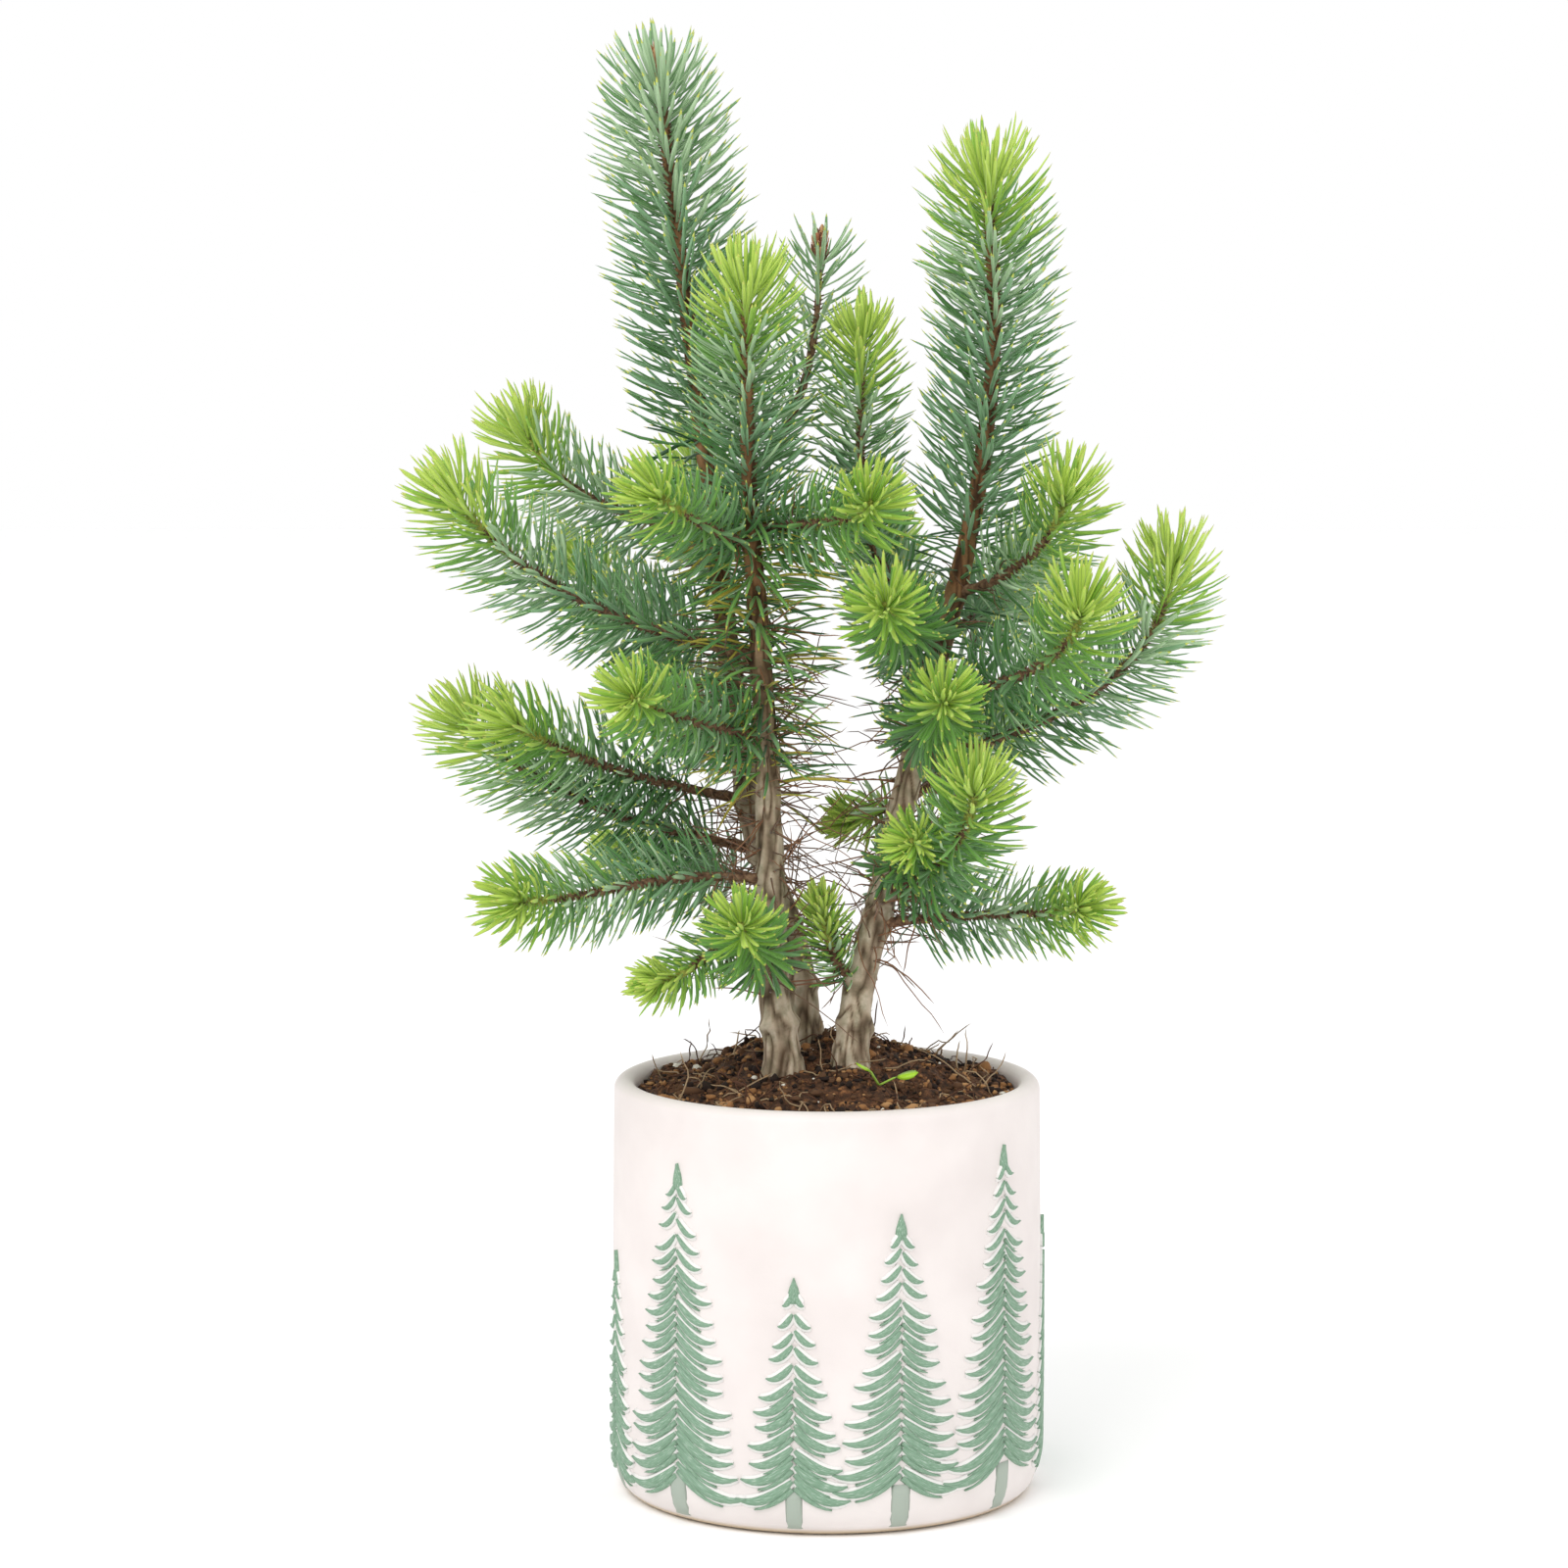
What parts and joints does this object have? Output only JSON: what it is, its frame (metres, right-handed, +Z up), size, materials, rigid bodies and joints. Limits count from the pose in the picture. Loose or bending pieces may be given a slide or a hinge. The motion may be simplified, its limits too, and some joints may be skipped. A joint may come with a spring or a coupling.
{
  "type": "potted stone pine",
  "caption": "Young stone pine with slender stems and bottle-brush shoots of soft blue-green juvenile needles, in a round ceramic pot of soil.",
  "frame": {"origin": "centre of the pot's flat underside, on the pot's axis", "axes": "+Z up along the pot's axis; -Y towards the side of the plant that the picture shows; +X to the viewer's right"},
  "size_m": [0.2411, 0.149, 0.4416],
  "materials": {
    "ceramic": "matte",
    "peat": "matte",
    "bark": "matte",
    "needles": "satin"
  },
  "bodies": {
    "root": {"pot": "ceramic", "soil": "peat", "front_stem": "bark", "rear_stem": "bark", "right_stem": "bark", "bough_back_centre": "bark", "bough_back_high": "bark", "bough_back_left_low": "bark", "bough_back_left_middle": "bark", "bough_back_left_upper": "bark", "bough_back_right_low": "bark", "bough_back_right_middle": "bark", "bough_back_right_upper": "bark", "bough_centre_upper": "bark", "bough_left_big": "bark", "bough_left_high": "bark", "bough_left_low": "bark", "bough_left_middle": "bark", "bough_left_rising": "bark", "bough_right_far": "bark", "bough_right_front_big": "bark", "bough_right_front_low": "bark", "bough_right_high": "bark", "bough_right_low": "bark", "bough_thin_top": "bark", "bough_upright_centre": "bark", "needles_back_centre": "needles", "needles_back_high": "needles", "needles_back_left_low": "needles", "needles_back_left_middle": "needles", "needles_back_left_upper": "needles", "needles_back_right_low": "needles", "needles_back_right_middle": "needles", "needles_back_right_upper": "needles", "needles_between_stems": "needles", "needles_centre_behind": "needles", "needles_centre_high": "needles", "needles_centre_low": "needles", "needles_centre_middle": "needles", "needles_centre_upper": "needles", "needles_foot_front": "needles", "needles_foot_left": "needles", "needles_front_leader": "needles", "needles_left_big": "needles", "needles_left_front": "needles", "needles_left_high": "needles", "needles_left_inner": "needles", "needles_left_low": "needles", "needles_left_middle": "needles", "needles_left_rising": "needles", "needles_rear_leader": "needles", "needles_right_far": "needles", "needles_right_front_big": "needles", "needles_right_front_low": "needles", "needles_right_high": "needles", "needles_right_leader": "needles", "needles_right_low": "needles", "needles_thin_top": "needles", "needles_upright_centre": "needles"}
  },
  "joints": []
}
